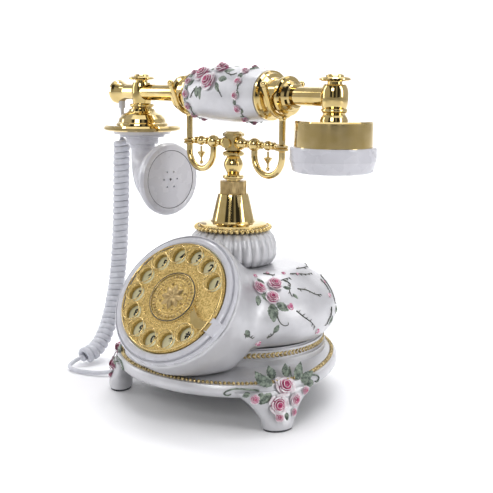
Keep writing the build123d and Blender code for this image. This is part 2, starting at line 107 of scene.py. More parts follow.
COAT_ROUGHNESS = 0.12
GRAIN_HEIGHT = 0.6 * MM
LEAST_ROUGHNESS = 0.03


def material(name, colours, metallic, roughness, coat, grain, mottle, wear=0.08):
    """A finish mottled between two colours, with a fine grain and uneven roughness.

    grain is the scale and the bump strength of the fine noise, mottle the scale of the broad one,
    and wear is how far the roughness moves to either side.
    """
    made = bpy.data.materials.new(name)
    made.use_nodes = True
    tree = made.node_tree
    links = tree.links
    surface = tree.nodes["Principled BSDF"]
    surface.inputs["Metallic"].default_value = metallic
    surface.inputs["Coat Weight"].default_value = coat
    surface.inputs["Coat Roughness"].default_value = COAT_ROUGHNESS
    where = tree.nodes.new("ShaderNodeTexCoord")
    broad = tree.nodes.new("ShaderNodeTexNoise")
    broad.inputs["Scale"].default_value = mottle
    broad.inputs["Detail"].default_value = 5.0
    links.new(where.outputs["Object"], broad.inputs["Vector"])
    ramp = tree.nodes.new("ShaderNodeValToRGB")
    ramp.color_ramp.elements[0].position = 0.38
    ramp.color_ramp.elements[1].position = 0.62
    ramp.color_ramp.elements[0].color = (*colours[0], 1)
    ramp.color_ramp.elements[1].color = (*colours[1], 1)
    links.new(broad.outputs["Fac"], ramp.inputs["Fac"])
    links.new(ramp.outputs["Color"], surface.inputs["Base Color"])
    spread = tree.nodes.new("ShaderNodeMapRange")
    spread.inputs["To Min"].default_value = max(roughness - wear, LEAST_ROUGHNESS)
    spread.inputs["To Max"].default_value = roughness + wear
    links.new(broad.outputs["Fac"], spread.inputs["Value"])
    links.new(spread.outputs["Result"], surface.inputs["Roughness"])
    fine = tree.nodes.new("ShaderNodeTexNoise")
    fine.inputs["Scale"].default_value = grain[0]
    fine.inputs["Detail"].default_value = 3.0
    links.new(where.outputs["Object"], fine.inputs["Vector"])
    bump = tree.nodes.new("ShaderNodeBump")
    bump.inputs["Strength"].default_value = grain[1]
    bump.inputs["Distance"].default_value = GRAIN_HEIGHT
    links.new(fine.outputs["Fac"], bump.inputs["Height"])
    links.new(bump.outputs["Normal"], surface.inputs["Normal"])
    return made


pearl = material(
    "pearl",
    ((0.5, 0.5, 0.52), (0.6, 0.6, 0.62)),
    metallic=0.5, roughness=0.36, coat=0.5, grain=(2600.0, 0.25), mottle=45.0,
)
gold = material(
    "gold",
    ((0.6, 0.45, 0.18), (0.68, 0.53, 0.25)),
    metallic=1.0, roughness=0.06, coat=0.0, grain=(400.0, 0.006), mottle=80.0, wear=0.02,
)
sand_gold = material(
    "sand_gold",
    ((0.4, 0.27, 0.08), (0.72, 0.54, 0.22)),
    metallic=1.0, roughness=0.38, coat=0.0, grain=(1500.0, 0.9), mottle=900.0, wear=0.14,
)
old_gold = material(
    "old_gold",
    ((0.2, 0.15, 0.07), (0.66, 0.52, 0.26)),
    metallic=0.9, roughness=0.36, coat=0.0, grain=(1500.0, 0.4), mottle=700.0, wear=0.12,
)
nut_gold = material(
    "nut_gold",
    ((0.36, 0.26, 0.12), (0.52, 0.39, 0.19)),
    metallic=1.0, roughness=0.34, coat=0.0, grain=(900.0, 0.3), mottle=200.0,
)
plastic = material(
    "white_plastic",
    ((0.525, 0.525, 0.565), (0.545, 0.545, 0.585)),
    metallic=0.0, roughness=0.28, coat=0.35, grain=(1800.0, 0.05), mottle=90.0,
)
cord_plastic = material(
    "cord_plastic",
    ((0.53, 0.54, 0.59), (0.6, 0.61, 0.66)),
    metallic=0.0, roughness=0.36, coat=0.2, grain=(1400.0, 0.06), mottle=150.0,
)
ivory = material(
    "ivory",
    ((0.8, 0.78, 0.5), (0.9, 0.88, 0.62)),
    metallic=0.0, roughness=0.42, coat=0.1, grain=(900.0, 0.1), mottle=60.0,
)
steel = material(
    "steel",
    ((0.5, 0.5, 0.5), (0.62, 0.62, 0.62)),
    metallic=1.0, roughness=0.34, coat=0.0, grain=(1500.0, 0.15), mottle=200.0,
)
black = material(
    "black_plastic",
    ((0.025, 0.025, 0.027), (0.05, 0.05, 0.052)),
    metallic=0.0, roughness=0.5, coat=0.0, grain=(1800.0, 0.3), mottle=150.0,
)
green = material(
    "board_green",
    ((0.02, 0.12, 0.06), (0.04, 0.2, 0.1)),
    metallic=0.0, roughness=0.4, coat=0.2, grain=(900.0, 0.1), mottle=200.0,
)
rubber = material(
    "pad_rubber",
    ((0.035, 0.035, 0.04), (0.07, 0.07, 0.075)),
    metallic=0.0, roughness=0.75, coat=0.0, grain=(1500.0, 0.4), mottle=200.0,
)
ink = material(
    "ink",
    ((0.008, 0.008, 0.008), (0.02, 0.02, 0.02)),
    metallic=0.0, roughness=0.4, coat=0.0, grain=(900.0, 0.1), mottle=200.0,
)
petal_white = material(
    "petal_white",
    ((0.56, 0.46, 0.5), (0.74, 0.72, 0.74)),
    metallic=0.1, roughness=0.36, coat=0.3, grain=(1500.0, 0.3), mottle=350.0,
)
petal_pink = material(
    "petal_pink",
    ((0.42, 0.07, 0.18), (0.66, 0.26, 0.39)),
    metallic=0.0, roughness=0.42, coat=0.2, grain=(1500.0, 0.3), mottle=420.0,
)
petal_deep = material(
    "petal_deep",
    ((0.3, 0.015, 0.08), (0.52, 0.08, 0.2)),
    metallic=0.0, roughness=0.42, coat=0.2, grain=(1500.0, 0.3), mottle=420.0,
)
leaf_green = material(
    "leaf_green",
    ((0.04, 0.06, 0.045), (0.24, 0.29, 0.23)),
    metallic=0.05, roughness=0.45, coat=0.1, grain=(1200.0, 0.5), mottle=420.0,
)
twig_green = material(
    "twig_green",
    ((0.04, 0.042, 0.034), (0.13, 0.14, 0.11)),
    metallic=0.05, roughness=0.5, coat=0.0, grain=(1200.0, 0.5), mottle=500.0,
)

slot_finish = {
    "pearl": pearl,
    "gold": gold,
    "antique_gold": nut_gold,
    "white_plastic": plastic,
    "ivory": ivory,
    "cord_white": cord_plastic,
    "steel": steel,
    "black_plastic": black,
    "board_green": green,
    "pad_rubber": rubber,
}
own_finish = {"finger_wheel": sand_gold, "dial_cap": sand_gold, "collar_bead_ring": old_gold}


def finish_nodes():
    """Gives each CAD node the finish of its material slot, or its own."""
    for part in frame["record"]["subparts"]:
        name = part["node"]
        made = own_finish.get(name, slot_finish[part["material_slot"]])
        mesh = nodes[name].data
        mesh.materials.clear()
        mesh.materials.append(made)


finish_nodes()

# ---------------------------------------------------------------- building helpers


class Skin:
    """The outside of some CAD nodes, which ornaments are laid on."""

    def __init__(self, *names):
        points = []
        faces = []
        for name in names:
            first = len(points)
            mesh = nodes[name].data if isinstance(name, str) else name.data
            points += [vertex.co.copy() for vertex in mesh.vertices]
            faces += [[first + index for index in polygon.vertices] for polygon in mesh.polygons]
        self.tree = BVHTree.FromPolygons(points, faces)

    def meet(self, start, direction, reach=1.0):
        spot, normal, _, _ = self.tree.ray_cast(start, direction, reach)
        if spot is None:
            return None
        if normal.dot(direction) > 0:
            normal = -normal
        return spot, normal

    def around(self, azimuth, height):
        """The spot met from outside at an angle round the column and a height, both as in the frame."""
        out = outward(azimuth)
        start = column + out * 0.2 + Vector((0, 5 * MM, height * MM))
        return self.meet(start, -out)


def frame_at(spot, normal, turn=0.0):
    """A placing frame on a surface: columns are right, up (turned by an angle in degrees) and out."""
    right = UP.cross(normal)
    if right.length < 0.15:
        right = Vector((1, 0, 0))
    right.normalize()
    up = normal.cross(right)
    turned = Matrix((right, up, normal)).transposed().to_4x4()
    return Matrix.Translation(spot) @ turned @ Matrix.Rotation(radians(turn), 4, "Z")


class Relief:
    """A mesh of many small modelled pieces laid on a skin."""

    def __init__(self, name, finishes, skin=None):
        self.name = name
        self.finishes = finishes
        self.skin = skin
        self.points = []
        self.faces = []
        self.kinds = []

    def lay(self, place, x, y, height):
        flat = place @ Vector((x, y, 0))
        out = place.to_3x3() @ UP
        if self.skin is not None:
            met = self.skin.meet(flat + out * 9 * MM, -out, 22 * MM)
            if met is not None:
                flat = met[0]
        return flat + out * height

    def patch(self, place, shape, across, along, kind, closed=False):
        """A grid of across by along cells, from shape(u, v) with u and v from 0 to 1."""
        first = len(self.points)
        for j in range(along + 1):
            for i in range(across + (0 if closed else 1)):
                self.points.append(self.lay(place, *shape(i / across, j / along)))
        row = across if closed else across + 1
        for j in range(along):
            for i in range(across):
                a = first + j * row + i
                b = first + j * row + (i + 1) % row
                self.faces.append((a, b, b + row, a + row))
                self.kinds.append(kind(i / across, (j + 0.5) / along) if callable(kind) else kind)

    def tube(self, centres, radii, sides=7, kind=0):
        """A closed tube through points, tapered by its radii."""
        first = len(self.points)
        count = len(centres)
        hand = None
        for k, centre in enumerate(centres):
            ahead = centres[min(k + 1, count - 1)] - centres[max(k - 1, 0)]
            ahead.normalize()
            if hand is None:
                hand = ahead.orthogonal()
            hand = (hand - ahead * hand.dot(ahead)).normalized()
            other = ahead.cross(hand)
            for s in range(sides):
                a = 2 * pi * s / sides
                self.points.append(centre + (hand * cos(a) + other * sin(a)) * radii[k])
        for k in range(count - 1):
            for s in range(sides):
                a = first + k * sides + s
                b = first + k * sides + (s + 1) % sides
                self.faces.append((a, b, b + sides, a + sides))
                self.kinds.append(kind)
        self.faces.append(tuple(first + s for s in reversed(range(sides))))
        self.faces.append(tuple(first + (count - 1) * sides + s for s in range(sides)))
        self.kinds += [kind, kind]

    def shape(self):
        mesh = bpy.data.meshes.new(self.name)
        mesh.from_pydata([point[:] for point in self.points], [], self.faces)
        for made in self.finishes:
            mesh.materials.append(made)
        mesh.polygons.foreach_set("material_index", self.kinds)
        mesh.polygons.foreach_set("use_smooth", [True] * len(self.faces))
        mesh.update()
        return put(self.name, mesh)

    def build(self, body):
        piece = self.shape()
        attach(piece, body)
        return piece


# ---------------------------------------------------------------- flowers

PETALS = [
    (5, 0.0, 0.55, 1.0, 0.1, 0.3, 0.95),
    (5, 0.5, 0.36, 0.78, 0.26, 0.46, 0.95),
    (4, 0.2, 0.22, 0.56, 0.38, 0.6, 1.05),
    (3, 0.7, 0.08, 0.34, 0.5, 0.72, 1.3),
]


def rose(relief, place, radius, rng, painted=0):
    """Four rings of curled petals round a closed middle. Painted roses are pink further out."""
    for ring, (count, shift, inner, outer, low, high, wide) in enumerate(PETALS):
        for index in range(count):
            start = 2 * pi * (index + shift) / count + rng.uniform(-0.12, 0.12)
            reach = outer * rng.uniform(0.94, 1.05)

            def petal(u, v, start=start, reach=reach):
                side = 2 * u - 1
                angle = start + side * wide * pi / count
                lip = 1 - 0.2 * side**4
                out = radius * (inner + (reach - inner) * v * lip)
                rise = low + (high - low) * sin(v * pi * 0.62) - 0.1 * side**2
                return out * cos(angle), out * sin(angle), radius * rise * 0.8 + 0.1 * MM

            if ring == 0:
                edge = 0.4 + 0.3 * painted
            elif ring == 1:
                edge = 0.62 + 0.3 * painted
            else:
                edge = 0.86
            deep = 2 if ring > 1 else 1
            relief.patch(place, petal, 6, 5, lambda u, v, edge=edge, deep=deep: 0 if v > edge else deep)

    def heart(u, v):
        angle = 2 * pi * u
        out = radius * (0.2 - 0.17 * v) * (1 + 0.12 * sin(3 * angle + 5 * v))
        return out * cos(angle), out * sin(angle), radius * (0.2 + 0.42 * sin(v * pi / 2))

    relief.patch(place, heart, 12, 4, lambda u, v: 2 if int(v * 4) % 2 else 1, closed=True)

    def seat(u, v):
        angle = 2 * pi * u
        out = radius * 0.72 * (1 - v)
        return out * cos(angle), out * sin(angle), radius * 0.26 * v**0.5

    relief.patch(place, seat, 14, 4, 1, closed=True)


def bud(relief, place, radius, rng):
    """A small painted bud: a domed dab with three folded petals."""

    def dab(u, v):
        angle = 2 * pi * u
        out = radius * cos(v * pi / 2) * (1 + 0.14 * sin(3 * angle + radius * 9000))
        return out * cos(angle), out * sin(angle), radius * (0.04 + 0.42 * sin(v * pi / 2))

    relief.patch(place, dab, 12, 4, lambda u, v: 0 if v < 0.2 and u < 0.6 else 2 - int(v > 0.6), closed=True)
    for index in range(3):
        start = 2 * pi * index / 3 + rng.uniform(0, 1)

        def fold(u, v, start=start):
            angle = start + (u - 0.5) * 1.7
            out = radius * (0.15 + 0.75 * v * (1 - 0.3 * (2 * u - 1) ** 2))
            return out * cos(angle), out * sin(angle), radius * (0.5 - 0.24 * v + 0.16 * sin(v * pi))

        relief.patch(place, fold, 5, 3, lambda u, v: 0 if v > 0.6 else 1)


def leaf(relief, place, length, width, kind=0, lift=1.0):
    """A pointed leaf with a raised midrib, side veins and a toothed edge. It grows along the place's up."""

    def blade(u, v):
        side = 2 * u - 1
        spread = sin(pi * min(v * 0.94 + 0.05, 1.0) ** 0.8) * (1 + 0.1 * sin(v * 38) * abs(side) ** 4)
        rib = 0.55 * (1 - abs(side)) + 0.5 * (1 - side**2)
        veins = 0.12 * sin(v * 34 - abs(side) * 5) * (1 - side**2)
        height = (rib + veins) * sin(pi * min(v + 0.06, 1.0)) * 0.8 * MM * lift
        return side * width / 2 * spread, length * v, height - 0.1 * MM

    relief.patch(place, blade, 8, 14, kind)


def stem(relief, spots, rng, radius, kind=0, thorn=0.0, end=0.45):
    """A tube that follows surface spots, with thorns to both sides where thorn is their length."""
    fine = smooth_line([spot + normal * radius * 0.5 for spot, normal in spots], 6)
    taper = [radius * (1 - (1 - end) * k / (len(fine) - 1)) for k in range(len(fine))]
    relief.tube(fine, taper, 6, kind)
    if not thorn:
        return
    normal = spots[len(spots) // 2][1]
    for k in range(2, len(fine) - 1, 3):
        ahead = (fine[k + 1] - fine[k - 1]).normalized()
        side = ahead.cross(normal).normalized() * rng.choice((-1, 1))
        lean = (side + ahead * rng.uniform(0.1, 0.8)).normalized()
        tip = fine[k] + lean * thorn * rng.uniform(0.6, 1.2)
        radii = [radius * 0.8, radius * 0.55, radius * 0.2]
        relief.tube([fine[k], (fine[k] + tip) / 2, tip], radii, 5, kind)


def smooth_line(points, parts):
    """A Catmull-Rom line through the points, each span cut into parts."""
    line = []
    count = len(points)
    for k in range(count - 1):
        p0 = points[max(k - 1, 0)]
        p1 = points[k]
        p2 = points[k + 1]
        p3 = points[min(k + 2, count - 1)]
        for step in range(parts):
            t = step / parts
            square = (2 * p0 - 5 * p1 + 4 * p2 - p3) * t**2
            cube = (3 * p1 - p0 - 3 * p2 + p3) * t**3
            line.append(0.5 * ((2 * p1) + (p2 - p0) * t + square + cube))
    line.append(points[-1].copy())
    return line


# ---------------------------------------------------------------- flowers on the body

FLORA = (petal_white, petal_pink, petal_deep)
GREENS = (leaf_green, twig_green)
LEAF_LONGER = 1.4
LEAF_WIDER = 1.45


def body_flowers(body_skin):
    """The rose spray by the dial, one like it at the rear left, and the twigs and buds all round."""
    rng = Random(3)
    skin = Skin(body_skin)
    flowers = Relief("body_roses", FLORA, skin)
    for azimuth, height, radius in ((-39, 89, 5.4), (-25, 90, 5.8), (-31.5, 83, 5.4)):
        spot, normal = skin.around(azimuth, height)
        rose(flowers, frame_at(spot, normal, azimuth * 3), radius * MM, rng, 0.4)
    # Buds: an angle round the column, a height and a radius, both in millimetres.
    small = [(-22, 77, 2.5), (-39, 95.5, 1.7), (-10, 95, 1.6), (15, 77, 2.0), (-2, 56, 2.3), (-42, 53, 2.4)]
    small += [(-24, 95.8, 1.3), (2, 93.5, 1.2), (25, 84, 1.7), (60, 80, 2.2), (95, 78, 2.3), (130, 82, 2.2)]
    small += [(168, 76, 2.3), (205, 80, 2.2), (215, 90, 2.0), (222, 56, 2.3), (182, 57, 2.2), (112, 58, 2.1)]
    for azimuth, height, radius in small:
        spot, normal = skin.around(azimuth, height)
        bud(flowers, frame_at(spot, normal, azimuth), radius * MM, rng)
    for azimuth, height, radius in ((212, 84, 5.4), (203, 88, 5.2), (206, 79, 5.0)):
        spot, normal = skin.around(azimuth, height)
        rose(flowers, frame_at(spot, normal, azimuth), radius * MM, rng, 0.4)
    flowers.build("base")

    greens = Relief("body_leaves", GREENS, skin)
    # Leaves: an angle round the column, a height, the way the leaf points, its length and its width.
    blades = [(-38, 86.5, 205, 8, 4.6), (-41, 85, 150, 6, 3.6), (-33, 79.5, 180, 9.5, 5.6)]
    blades += [(-30, 79.5, 235, 7.5, 4.6), (-34, 90, 20, 5.5, 3.4), (-20, 88, 250, 4.5, 2.6)]
    blades += [(-16, 84, 200, 4, 2.2), (-48, 60, 40, 5.5, 3.6)]
    blades += [(-33, 60.5, 330, 5, 2.8), (14, 63, 150, 6, 3.2), (22, 68, 170, 5, 2.8)]
    blades += [(200, 84, 120, 8, 4.6), (212, 79, 220, 9, 5), (205, 75, 180, 8, 4.6), (218, 88, 60, 7, 4)]
    blades += [(70, 72, 200, 7, 4), (100, 70, 160, 7, 4), (140, 74, 210, 7, 4), (230, 60, 20, 6, 3.6)]
    for azimuth, height, turn, length, width in blades:
        spot, normal = skin.around(azimuth, height)
        place = frame_at(spot, normal, turn)
        leaf(greens, place, length * LEAF_LONGER * MM, width * LEAF_WIDER * MM, 0, 1.3)
    curled = [(-31, 75), (-31, 71), (-29.5, 67), (-27, 65), (-25, 65.5), (-25, 67)]
    stem(greens, [skin.around(*at) for at in curled], rng, 0.45 * MM, 1)
    twigs = [
        [(-29, 95.6), (-24, 95), (-20, 94.5)],
        [(-5, 94.2), (2, 93.6), (12, 91.8), (22, 90.8)],
        [(10, 95.6), (24, 94.5), (38, 94)],
        [(-10, 86), (-4, 84.5), (1, 81), (6, 80)],
        [(-19, 74), (-15, 69.5), (-10, 65), (-6, 60.5)],
        [(12, 70), (11, 65), (8, 61), (6, 58)],
        [(25, 86), (22, 82), (19, 78)],
        [(36, 86), (28, 82), (22, 76), (20, 70)],
        [(-51, 63), (-48, 60), (-46, 58)],
        [(-37, 57), (-34, 59), (-32, 62.5)],
        [(-15, 91.5), (-13, 89), (-17, 86), (-18, 82.5)],
        [(-21, 91.2), (-15, 92), (-9, 92.4)],
        [(48, 84), (56, 80), (64, 80), (72, 74)],
        [(84, 80), (92, 77), (102, 79), (110, 73)],
        [(120, 86), (130, 81), (140, 83), (150, 76)],
        [(160, 80), (170, 75), (176, 68), (184, 60)],
        [(186, 86), (194, 82), (198, 76)],
        [(60, 60), (72, 64), (86, 60), (98, 63)],
        [(120, 60), (134, 64), (146, 60)],
        [(208, 72), (214, 66), (222, 62)],
    ]
    for line in twigs:
        stem(greens, [skin.around(*at) for at in line], rng, 0.48 * MM, 1, 2.3 * MM)
    greens.build("base")


# ---------------------------------------------------------------- flowers on the feet


def foot_flowers(side):
    """The rose cluster that spills over the plinth's edge and down one front foot. side is 1 or -1."""
    rng = Random(5 + side)
    skin = Skin("plinth")
    facing = -33.0 if side > 0 else -147.0

    def place(swing_deg, height, turn, lean):
        """A spot swung from the foot's middle, for a piece that leans back by an angle in degrees."""
        azimuth = facing + side * swing_deg
        out = outward(azimuth)
        spot, _ = skin.around(azimuth, height)
        normal = (out * cos(radians(lean)) + UP * sin(radians(lean))).normalized()
        return frame_at(spot, normal, side * turn)

    label = "right" if side > 0 else "left"
    flowers = Relief(f"{label}_foot_roses", FLORA, skin)
    for swing_deg, height, radius, lean in ((0, 29.5, 7.4, 35), (-4, 18.5, 7.0, 8), (4.5, 19.5, 4.9, 10)):
        rose(flowers, place(swing_deg, height, height * 4, lean), radius * MM, rng)
    for swing_deg, height, radius in ((-14, 23, 3.6), (-4, 10.5, 3.4), (3.5, 11.5, 3.0), (10, 24, 3.4)):
        rose(flowers, place(swing_deg, height, height * 7, 12), radius * MM, rng, 0.5)
    flowers.build("base")

    greens = Relief(f"{label}_foot_leaves", GREENS, skin)
    blades = [(-7, 26, 130, 11, 6, 20), (-11, 27, 165, 8.5, 5.6, 15), (10, 29, -110, 7, 4.4, 20)]
    blades += [(-0.5, 12.5, 175, 5.5, 3.6, 5), (-16, 27, 110, 6, 3.8, 20), (11, 27, -75, 10, 5.6, 25)]
    for swing_deg, height, turn, length, width, lean in blades:
        leaf(greens, place(swing_deg, height, turn, lean), length * MM, width * MM, 0, 1.5)
    curls = [
        [(-12, 28), (-17, 29), (-22, 29.5), (-25.5, 28), (-27, 26), (-25.5, 24.8), (-24, 26)],
        [(12, 30), (16, 31), (20, 30), (22, 27.5), (20.5, 25.5), (18.5, 26.5)],
        [(4, 30), (8, 33), (11, 34.2)],
    ]
    for line in curls:
        spots = [skin.around(facing + side * swing_deg, height) for swing_deg, height in line]
        stem(greens, spots, rng, 0.75 * MM, 0, 0, 0.6)
    greens.build("base")

    standing = Relief(f"{label}_foot_standing_leaves", GREENS)
    blades = [(-6, 30.5, 62, 13, 7.4, 25), (-9, 30, 32, 12, 6.6, 25), (-4, 32, 12, 9.5, 6.6, 30)]
    blades += [(3, 32, -8, 9.5, 6, 30), (6.5, 31, -28, 13, 6.6, 25), (9, 29, -62, 12.5, 6.6, 25)]
    for swing_deg, height, turn, length, width, lean in blades:
        at = Matrix.Translation(UP * 0.6 * MM) @ place(swing_deg, height, turn, lean)
        leaf(standing, at, length * MM, width * MM, 0, 1.7)
        leaf(standing, at @ Matrix.Rotation(pi, 4, "Y"), length * MM, width * MM, 0, 0.2)
    standing.build("base")


# ---------------------------------------------------------------- gold trims on the base


def trims():
    """The beads at the plinth's edge and round the collar's foot, and the leaves over the seam."""
    plinth = Skin("plinth")
    shell = Skin("body_shell")
    beads = Relief("plinth_bead_trim", (old_gold,))
    azimuth = 0.0
    while azimuth < 360.0:
        out = outward(azimuth)
        edge = plinth.around(azimuth, 30.2)
        spacing = 2.9 * MM / (edge[0] - column).to_2d().length
        azimuth += spacing * 180 / pi
        above = edge[0] - out * 3.4 * MM + UP * 12 * MM
        met = plinth.meet(above, -UP, 30 * MM)
        if met is None:
            continue
        place = Matrix.Translation(met[0]) @ Matrix.Rotation(radians(azimuth + 35), 4, "Z")
        bead(beads, place, 1.7 * MM, 1.3 * MM, 1.6 * MM)
    beads.build("base")

    ring = Relief("collar_foot_trim", (old_gold,))
    count = 84
    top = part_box("body_shell")[1][2]
    for index in range(count):
        turn = 360.0 * index / count
        out = outward(turn)
        spot = column + out * 32.2 * MM
        spot.z = top
        met = shell.meet(spot + UP * 8 * MM, -UP, 30 * MM)
        if met is None or met[0].z < top - 6 * MM:
            continue
        place = Matrix.Translation(met[0]) @ Matrix.Rotation(radians(turn + 25), 4, "Z")
        bead(ring, place, 1.35 * MM, 0.9 * MM, 1.1 * MM)
    ring.build("base")

    band = Relief("leaf_band", (old_gold,), plinth)
    azimuth = -58.0
    while azimuth < 238.0:
        met = plinth.around(azimuth, 42.2)
        azimuth += 3.1 * MM / (met[0] - column).to_2d().length * 180 / pi
        other = shell.around(azimuth, 42.2)
        out = outward(azimuth)
        if other is not None and (other[0] - met[0]).dot(out) > 0:
            continue
        for turn in (62, 118):
            leaf(band, frame_at(met[0], met[1], -turn), 4.2 * MM, 2.1 * MM, 0, 1.2)
    band.build("base")


def collar_and_beads():
    """The collar's plump lobes, and the row of beads between it and the gold flange."""
    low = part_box("collar")[0][2]
    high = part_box("collar")[1][2]
    lobes = 26
    outline = [(25.5, 0.0), (29.0, 0.06), (31.6, 0.22), (32.0, 0.42)]
    outline += [(31.4, 0.6), (29.6, 0.8), (26.0, 0.95), (20.0, 1.0)]

    def shape(u, v):
        at = v * (len(outline) - 1)
        k = min(int(at), len(outline) - 2)
        share = at - k
        radius = outline[k][0] * (1 - share) + outline[k + 1][0] * share
        level = outline[k][1] * (1 - share) + outline[k + 1][1] * share
        across = 2 * ((u * lobes) % 1.0) - 1
        radius -= 2.3 * (1 - (1 - across * across) ** 0.5) * (1.0 if v < 0.95 else 0.4)
        return radius * MM * cos(2 * pi * u), radius * MM * sin(2 * pi * u), (high - low) * level

    place = Matrix.Translation(Vector((column.x, column.y, low)))
    plump = Relief("collar_lobes", (pearl,))
    plump.patch(place, shape, lobes * 12, 28, 0, closed=True)
    piece = plump.build("base")
    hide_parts("collar")
    row = Relief("flange_beads", (gold,))
    ring_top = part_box("collar_bead_ring")[1][2]
    count = 44
    for index in range(count):
        turn = 360.0 * index / count
        out = outward(turn)
        spot = column + out * 26.8 * MM + UP * (ring_top - 1.4 * MM)
        bead(row, Matrix.Translation(spot), 1.6 * MM, 1.6 * MM, 1.5 * MM)
    row.build("base")


def soft_body():
    """The body with its dial drum faired into it, which replaces the CAD shell's crisp join."""
    source = nodes["body_shell"]
    mesh = source.data.copy()
    piece = put("body_skin", mesh)
    remesh = piece.modifiers.new("remesh", "REMESH")
    remesh.mode = "VOXEL"
    remesh.voxel_size = 1.3 * MM
    graph = bpy.context.evaluated_depsgraph_get()
    fine = bpy.data.meshes.new_from_object(piece.evaluated_get(graph))
    bpy.data.objects.remove(piece)
    spots = [vertex.co.copy() for vertex in fine.vertices]
    near = [[] for _ in spots]
    for edge in fine.edges:
        a, b = edge.vertices
        near[a].append(b)
        near[b].append(a)
    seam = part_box("body_shell")[0][2]
    weights = []
    for spot in spots:
        local = spot - dial_centre
        depth = local.dot(dial_normal)
        radius = (local - dial_normal * depth).length
        band = min(max((radius - 43 * MM) / (3 * MM), 0), 1) * min(max((-depth - 6.5 * MM) / (7 * MM), 0), 1)
        reach = min(max((74 * MM - radius) / (14 * MM), 0), 1)
        weights.append(0.6 * band * reach + (0.12 if spot.z > seam + 34 * MM and depth < -8 * MM else 0))
    for _ in range(70):
        moved = []
        for index, spot in enumerate(spots):
            if weights[index] == 0 or not near[index]:
                moved.append(spot)
                continue
            mean = sum((spots[other] for other in near[index]), Vector()) / len(near[index])
            moved.append(spot.lerp(mean, weights[index]))
        spots = moved
    for vertex, spot in zip(fine.vertices, spots):
        vertex.co = spot
    fine.materials.clear()
    fine.materials.append(pearl)
    fine.polygons.foreach_set("use_smooth", [True] * len(fine.polygons))
    fine.name = "body_skin"
    piece = put("body_skin", fine)
    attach(piece, "base")
    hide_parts("body_shell")
    return piece


def bead(relief, place, half_long, half_wide, half_high):
    """One oval bead, lying along the place's X."""

    def oval(u, v):
        angle = 2 * pi * u
        level = pi * (v - 0.5)
        reach = cos(level)
        return half_long * reach * cos(angle), half_wide * reach * sin(angle), half_high * sin(level)

    relief.patch(place, oval, 8, 6, 0, closed=True)


# ---------------------------------------------------------------- dial

FIRST_HOLE = 27.7
HOLE_STEP = 25.9
HOLE_CIRCLE = 31.5 * MM


def dial_place(radius, angle, height, turn=0.0):
    """A frame on the dial: angle is counter-clockwise from its right, height is above its face."""
    flat = Matrix((Vector((1, 0, 0)), dial_up, dial_normal)).transposed().to_4x4()
    spot = Vector((radius * cos(radians(angle)), radius * sin(radians(angle)), height))
    placed = Matrix.Translation(dial_centre) @ flat @ Matrix.Translation(spot)
    return placed @ Matrix.Rotation(radians(turn), 4, "Z")


def numerals():
    """The twelve raised signs on the number plate, one under each finger hole."""
    for index, text in enumerate("1234567890*#"):
        curve = bpy.data.curves.new(f"numeral_{index + 1}", "FONT")
        curve.body = text
        curve.size = 7.2 * MM
        curve.align_x = "CENTER"
        curve.align_y = "CENTER"
        curve.extrude = 0.06 * MM
        curve.offset = 0.25 * MM
        flat = bpy.data.objects.new("flat", curve)
        mesh = bpy.data.meshes.new_from_object(flat)
        mesh.name = f"numeral_{index + 1}"
        bpy.data.objects.remove(flat)
        hole = dial_place(HOLE_CIRCLE, FIRST_HOLE + HOLE_STEP * index, -3.9 * MM)
        mesh.transform(Matrix.Translation((dial_up - Vector((1, 0, 0))) * 0.8 * MM) @ hole)
        mesh.materials.clear()
        mesh.materials.append(ink)
        piece = put(f"numeral_{index + 1}", mesh)
        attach(piece, "base")


def torus(relief, place, radius, thick, kind=0, around=96):
    """A round ring that lies in the place's plane."""

    def skin(u, v):
        angle = 2 * pi * u
        roll = 2 * pi * v
        out = radius + thick * cos(roll)
        return out * cos(angle), out * sin(angle), thick * sin(roll)

    relief.patch(place, skin, around, 8, kind, closed=True)


def dial_ornament():
    """Rims round the finger holes, dots on the wheel, and the rosette with its beads on the cap."""
    wheel_top = 3.0 * MM
    cap = [(vertex.co - dial_centre).dot(dial_normal) for vertex in nodes["dial_cap"].data.vertices]
    cap_top = max(cap)
    rims = Relief("finger_hole_rims", (gold,))
    for index in range(12):
        place = dial_place(HOLE_CIRCLE, FIRST_HOLE + HOLE_STEP * index, wheel_top)
        torus(rims, place, 6.5 * MM, 0.45 * MM, 0, 40)
    torus(rims, dial_place(0, 0, wheel_top - 0.2 * MM), 38.9 * MM, 0.5 * MM)
    rims.build("dial")
    crest = Relief("dial_cap_ornament", (nut_gold, black, gold))
    # The thin black ring at the cap's edge is painted shade for the groove between the cap and its rim.
    torus(crest, dial_place(0, 0, cap_top), 17.6 * MM, 0.3 * MM, 1)
    torus(crest, dial_place(0, 0, cap_top), 16.9 * MM, 0.35 * MM, 2)
    torus(crest, dial_place(0, 0, cap_top), 12.2 * MM, 0.3 * MM, 2)
    for index in range(36):
        bead(crest, dial_place(14.6 * MM, index * 10, cap_top, index * 10), 1.05 * MM, 0.6 * MM, 0.6 * MM)
    for index in range(8):
        place = dial_place(0.6 * MM, index * 45, cap_top, index * 45 - 90)
        leaf(crest, place, 8.8 * MM, 4.8 * MM, 0, 2.2)
    for index in range(8):
        bead(crest, dial_place(9.6 * MM, index * 45 + 22.5, cap_top), 0.8 * MM, 0.8 * MM, 0.6 * MM)
    bead(crest, dial_place(0, 0, cap_top), 1.9 * MM, 1.9 * MM, 1.1 * MM)
    bead(crest, dial_place(14.8 * MM, -62, cap_top), 0.9 * MM, 0.9 * MM, 0.62 * MM)
    crest.build("dial")
    dots = Relief("dial_wheel_dots", (gold,))
    for index in range(60):
        bead(dots, dial_place(21.6 * MM, index * 6, wheel_top), 0.55 * MM, 0.55 * MM, 0.45 * MM)
    dots.build("dial")


# ---------------------------------------------------------------- grip


